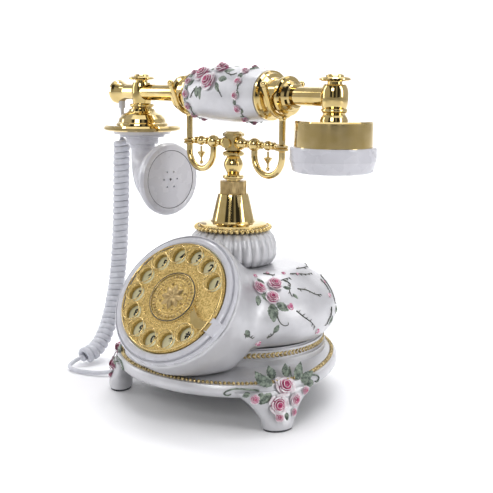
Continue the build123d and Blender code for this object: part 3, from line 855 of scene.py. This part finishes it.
def grip_flowers():
    """The roses on the grip's front, and the garland round each of its ends."""
    rng = Random(9)
    skin = Skin("grip")

    def spot(along, angle):
        """A spot on the grip: along it from its middle in millimetres, and an angle up from its front."""
        out = -handset_y * cos(radians(angle)) + UP * sin(radians(angle))
        start = grip_centre + handset_x * along * MM + out * 0.05
        return skin.meet(start, -out)

    flowers = Relief("grip_roses", FLORA, skin)
    for along, angle, radius in ((-19, 50, 7.0), (-8, 29, 7.2), (-5, 72, 6.6)):
        at, normal = spot(along, angle)
        rose(flowers, frame_at(at, normal, along * 9), radius * MM, rng)
    greens = Relief("grip_leaves", GREENS, skin)
    blades = [(-14, 18, 150, 9, 5.4), (-20, 18, 190, 9, 5), (1, 58, 280, 10, 6), (1, 36, 265, 9.5, 5.6)]
    blades += [(0, 26, 215, 9, 4.4), (-12, 62, 30, 8, 5), (-25, 34, 140, 7, 4), (0, 88, 320, 8, 5)]
    blades += [(-24, 66, 60, 7, 4.4), (-15, 8, 175, 7, 3.4)]
    for along, angle, turn, length, width in blades:
        at, normal = spot(along, angle)
        leaf(greens, frame_at(at, normal, turn), length * MM, width * MM)
    twigs = [
        [(-20, 14), (-24, 2), (-26, -8)],
        [(2, 20), (5, 8), (8, -4)],
        [(6, 50), (12, 46), (15, 52)],
    ]
    for line in twigs:
        stem(greens, [spot(*at) for at in line], rng, 0.45 * MM, 1, 1.4 * MM)
    for middle_x in (20.5, -32.0):
        for index in range(36):
            angle = 10.0 * index
            along = middle_x + 1.7 * sin(radians(angle * 6)) + rng.uniform(-0.5, 0.5)
            at, normal = spot(along, angle)
            if index % 3 == 0:
                rose(flowers, frame_at(at, normal, angle), 3.4 * MM, rng, 0.2)
            else:
                leaf(greens, frame_at(at, normal, rng.uniform(0, 360)), 4.6 * MM, 2.8 * MM, 0, 1.4)
        line = [spot(middle_x + 1.7 * sin(radians(angle * 6)), angle) for angle in range(0, 361, 10)]
        stem(greens, line, rng, 0.3 * MM, 1, 1.2 * MM, 1.0)
    flowers.build("handset")
    greens.build("handset")


# ---------------------------------------------------------------- mouthpiece


def mouth_line():
    """A black ring painted in as the shade of the gap between the mouthpiece's rim and its cap."""
    low, high = (Vector(corner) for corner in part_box("mouth_cap"))
    centre = (low + high) / 2
    far = max(vertex.co.dot(handset_x) for vertex in nodes["mouth_cap"].data.vertices)
    centre += handset_x * (far - centre.dot(handset_x))
    turn = Matrix((handset_y, UP, handset_x)).transposed().to_4x4()
    # A thin black ring stands in for the gap's shade: painted shade.
    gap = Relief("mouth_gap_painted_shade", (black,))
    torus(gap, Matrix.Translation(centre) @ turn, 22.4 * MM, 0.28 * MM)
    gap.build("handset")


# ---------------------------------------------------------------- cord

CRADLE_TURN = radians(-11)


def turned(x, y, z):
    """A point given in the handset's turned frame, round the column."""
    across = x * cos(CRADLE_TURN) - y * sin(CRADLE_TURN)
    deep = x * sin(CRADLE_TURN) + y * cos(CRADLE_TURN)
    return column + Vector((across, deep, z)) * MM


def straight(x, y, z):
    return column + Vector((x, y, z)) * MM


def beyond(point, other, distance):
    """The point that is a distance past a point, on the line that comes from another."""
    return point + (point - other).normalized() * distance * MM


COIL_RADIUS = 5.0 * MM
WIRE_RADIUS = 1.6 * MM
COIL_PITCH = 5.0 * MM
COIL_BLEND = 3.5 * MM
LEAD_STEP = 1.2 * MM


def cord_route():
    """The cord's route from the handset to its jack, and where its coiled part starts and stops."""
    coil_top = turned(-136.2, 3, 180)
    coil_second = straight(-133.5, 25.5, 84)
    coil_third = straight(-127.5, -9, 10.6)
    coil_end = straight(-131, -25, 6.7)
    points = [turned(-131, 0, 204.6), turned(-131, 0, 199.6)]
    points += [turned(-136.6, 6, 195.5), turned(-138.3, 7, 189)]
    points += [beyond(coil_top, coil_second, 4.6), coil_top, coil_second]
    points += [straight(-130, 10, 34), coil_third, coil_end, beyond(coil_end, coil_third, 7.2)]
    points += [straight(-131, -42, 2.2), straight(-108, -41.5, 2.2), straight(-92, -31, 3)]
    points += [straight(-83, -24, 9), straight(-77.5, -22, 15)]
    plug_face = Vector((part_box("cord_plug")[0][0], column.y - 22 * MM, 15 * MM))
    return points + [plug_face], coil_top, coil_end


def spline_points(points):
    """The smooth line that a NURBS spline draws between route points."""
    curve = bpy.data.curves.new("route", "CURVE")
    curve.dimensions = "3D"
    curve.resolution_u = 24
    spline = curve.splines.new("NURBS")
    spline.points.add(len(points) - 1)
    for held, point in zip(spline.points, points):
        held.co = (*point, 1)
    spline.order_u = 3
    spline.use_endpoint_u = True
    carrier = bpy.data.objects.new("route", curve)
    mesh = bpy.data.meshes.new_from_object(carrier)
    line = [vertex.co.copy() for vertex in mesh.vertices]
    bpy.data.objects.remove(carrier)
    bpy.data.meshes.remove(mesh)
    return line


def share_of(value, first, last):
    """How far a value is from first to last, from 0 to 1."""
    return min(max((value - first) / (last - first), 0), 1)


def wind(line, coil_top, coil_end):
    """The wire's middle line, coiled between two points, with its side directions and how coiled it is."""
    run = [0.0]
    for k in range(1, len(line)):
        run.append(run[-1] + (line[k] - line[k - 1]).length)
    start = run[min(range(len(line)), key=lambda k: (line[k] - coil_top).length)]
    stop = run[min(range(len(line)), key=lambda k: (line[k] - coil_end).length)]
    turns = (stop - start) / COIL_PITCH
    stations = []
    at = 0.0
    while at < run[-1]:
        stations.append(at)
        coiled = start - COIL_BLEND < at < stop + COIL_BLEND
        at += COIL_PITCH / 20 if coiled else LEAD_STEP
    stations.append(run[-1])
    centres = []
    hands = []
    hand = None
    k = 0
    for at in stations:
        while k < len(run) - 2 and run[k + 1] < at:
            k += 1
        share = (at - run[k]) / max(run[k + 1] - run[k], 1e-9)
        ahead = (line[k + 1] - line[k]).normalized()
        centre = line[k].lerp(line[k + 1], share)
        if hand is None:
            hand = ahead.orthogonal().normalized()
        hand = (hand - ahead * hand.dot(ahead)).normalized()
        other = ahead.cross(hand)
        inside = share_of(at, start, start + COIL_BLEND) * share_of(-at, -stop, COIL_BLEND - stop)
        swell = inside * inside * (3 - 2 * inside)
        angle = 2 * pi * turns * share_of(at, start, stop)
        radial = hand * cos(angle) + other * sin(angle)
        centres.append(centre + radial * COIL_RADIUS * swell)
        hands.append((radial, swell))
    return centres, hands


def sheathe(tube, centres, hands):
    """The cord's sheath: round on its leads, and a wide ribbed band where it is coiled."""
    sides = 12
    for k, centre in enumerate(centres):
        ahead = (centres[min(k + 1, len(centres) - 1)] - centres[max(k - 1, 0)]).normalized()
        radial, swell = hands[k]
        radial = (radial - ahead * radial.dot(ahead)).normalized()
        other = ahead.cross(radial)
        deep = WIRE_RADIUS + 0.3 * MM * swell
        wide = WIRE_RADIUS + 0.88 * MM * swell
        flat = 1 - 0.35 * swell
        for s in range(sides):
            a = 2 * pi * s / sides
            x = abs(cos(a)) ** flat * (1 if cos(a) > 0 else -1)
            y = abs(sin(a)) ** flat * (1 if sin(a) > 0 else -1)
            tube.points.append(centre + radial * x * deep + other * y * wide)
    for k in range(len(centres) - 1):
        for s in range(sides):
            a = k * sides + s
            b = k * sides + (s + 1) % sides
            tube.faces.append((a, b, b + sides, a + sides))
            tube.kinds.append(0)


def cord():
    """The handset's coiled cord, in one piece from the handset to the jack in the base."""
    points, coil_top, coil_end = cord_route()
    centres, hands = wind(spline_points(points), coil_top, coil_end)
    tube = Relief("handset_cord", (cord_plastic,))
    sheathe(tube, centres, hands)
    piece = tube.shape()
    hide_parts("cord_top_lead", "curly_cord", "cord_floor_lead")
    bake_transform(piece)


mouth_line()
cord()
body_skin = soft_body()
body_flowers(body_skin)
collar_and_beads()
foot_flowers(1)
foot_flowers(-1)
trims()
numerals()
dial_ornament()
grip_flowers()

# ---------------------------------------------------------------- floor, light and camera


def studio():
    """A pale floor that curves up behind the object, and a plain wall that only the camera sees."""
    floor_finish = material(
        "floor",
        ((0.93, 0.93, 0.95), (0.96, 0.96, 0.97)),
        metallic=0.0, roughness=0.55, coat=0.0, grain=(60.0, 0.02), mottle=4.0,
    )
    mesh = bpy.data.meshes.new("floor")
    rows = []
    half = 4.2
    depth = [-4.2, -1.0, 0.0, 1.0, 2.0]
    profile = [(y, 0.0) for y in depth]
    for k in range(1, 13):
        a = pi / 2 * k / 12
        profile.append((2.0 + 1.2 * sin(a), 1.2 * (1 - cos(a))))
    profile.append((3.2, 4.0))
    points = [(x, y, z) for y, z in profile for x in (-half, half)]
    faces = [(2 * k, 2 * k + 1, 2 * k + 3, 2 * k + 2) for k in range(len(profile) - 1)]
    mesh.from_pydata(points, [], faces)
    mesh.polygons.foreach_set("use_smooth", [True] * len(faces))
    mesh.materials.append(floor_finish)
    mesh.transform(Matrix.Rotation(radians(34), 4, "Z"))
    put("floor", mesh)

    wall_finish = bpy.data.materials.new("wall")
    wall_finish.use_nodes = True
    surface = wall_finish.node_tree.nodes["Principled BSDF"]
    surface.inputs["Base Color"].default_value = (0.9, 0.9, 0.92, 1)
    surface.inputs["Emission Color"].default_value = (0.94, 0.94, 0.97, 1)
    surface.inputs["Emission Strength"].default_value = 0.8
    mesh = bpy.data.meshes.new("round_wall")
    sides = 96
    turns = [2 * pi * k / sides for k in range(sides)]
    ring = [(3.9 * cos(a), 3.9 * sin(a), z) for z in (-0.01, 4.0) for a in turns]
    after = [(k + 1) % sides for k in range(sides)]
    mesh.from_pydata(ring, [], [(k, after[k], sides + after[k], sides + k) for k in range(sides)])
    mesh.materials.append(wall_finish)
    wall = put("round_wall", mesh)
    wall.visible_diffuse = False
    wall.visible_glossy = False
    wall.visible_shadow = False


def lamp(name, spot, aim, size, watts):
    """An oblong soft light at a spot, turned to face another."""
    light = bpy.data.lights.new(name, "AREA")
    light.shape = "RECTANGLE"
    light.size = size[0]
    light.size_y = size[1]
    light.energy = watts
    holder = put(name, light)
    holder.location = spot
    holder.rotation_euler = (Vector(aim) - Vector(spot)).to_track_quat("-Z", "Y").to_euler()


def world():
    """Soft light from behind, and light and dark panels in front that polished metal reflects."""
    made = bpy.data.worlds.new("studio")
    made.use_nodes = True
    tree = made.node_tree
    sky = tree.nodes["Background"]
    where = tree.nodes.new("ShaderNodeTexCoord")

    def toward(x, y):
        """How far a direction of the surroundings points along X and Y of the frame."""
        dot = tree.nodes.new("ShaderNodeVectorMath")
        dot.operation = "DOT_PRODUCT"
        dot.inputs[1].default_value = (x, y, 0.0)
        tree.links.new(where.outputs["Generated"], dot.inputs[0])
        return dot.outputs["Value"]

    def ramp(value, stops):
        made_ramp = tree.nodes.new("ShaderNodeValToRGB")
        elements = made_ramp.color_ramp.elements
        while len(elements) < len(stops):
            elements.new(0.5)
        for element, (position, level) in zip(elements, stops):
            element.position = position
            element.color = (level, level * 0.985, level * 0.97, 1)
        tree.links.new(value, made_ramp.inputs["Fac"])
        return made_ramp.outputs["Color"]

    spread = tree.nodes.new("ShaderNodeMapRange")
    spread.inputs["From Min"].default_value = -1.0
    tree.links.new(toward(0.82, 0.57), spread.inputs["Value"])
    panels = [(0.0, 0.9), (0.13, 0.9), (0.17, 0.06), (0.27, 0.05), (0.3, 0.95), (0.35, 0.95), (0.38, 0.05)]
    panels += [(0.52, 0.08), (0.56, 0.5), (0.62, 0.5), (0.65, 0.04), (0.8, 0.05), (0.84, 0.9), (1.0, 0.9)]
    mix = tree.nodes.new("ShaderNodeMix")
    mix.data_type = "RGBA"
    tree.links.new(ramp(toward(0.57, -0.82), [(0.0, 0.0), (0.3, 1.0)]), mix.inputs["Factor"])
    mix.inputs["A"].default_value = (0.95, 0.95, 1.0, 1)
    tree.links.new(ramp(spread.outputs["Result"], panels), mix.inputs["B"])
    tree.links.new(mix.outputs["Result"], sky.inputs["Color"])
    sky.inputs["Strength"].default_value = 0.62
    bpy.context.scene.world = made


def camera():
    """A level-headed view from the front right, as wide as the object needs."""
    azimuth = radians(34.46)
    pitch = radians(10.5)
    level = Vector((-sin(azimuth), cos(azimuth), 0))
    ahead = level * cos(pitch) - UP * sin(pitch)
    right = Vector((cos(azimuth), sin(azimuth), 0))
    up = right.cross(ahead)
    tilt = radians(0.5)
    right = right * cos(tilt) + up * sin(tilt)
    up = right.cross(ahead)
    lens = bpy.data.cameras.new("camera")
    lens.sensor_width = 36.0
    lens.lens = 36.0 * 900 / 493
    lens.clip_start = 0.01
    holder = put("camera", lens)
    turn = Matrix((right, up, -ahead)).transposed().to_4x4()
    holder.matrix_world = Matrix.Translation(column + Vector((0.3726, -0.5255, 0.2279))) @ turn
    bpy.context.scene.camera = holder


studio()
world()
lamp("front", (0.4, -1.7, 1.1), (0, 0, 0.1), (0.7, 0.7), 11)
lamp("top", (0.1, 0.35, 1.9), (0, 0, 0.1), (2.2, 2.2), 14)
lamp("right", (1.5, 0.1, 0.8), (0, 0, 0.12), (0.4, 1.4), 9)
lamp("left", (-1.4, -0.5, 0.7), (0, 0, 0.12), (0.3, 1.2), 5)
lamp("wall", (-0.5, 0.7, 2.2), (-1.5, 2.3, 0.9), (2.0, 1.0), 80)
camera()
bpy.context.scene.view_settings.view_transform = "Standard"
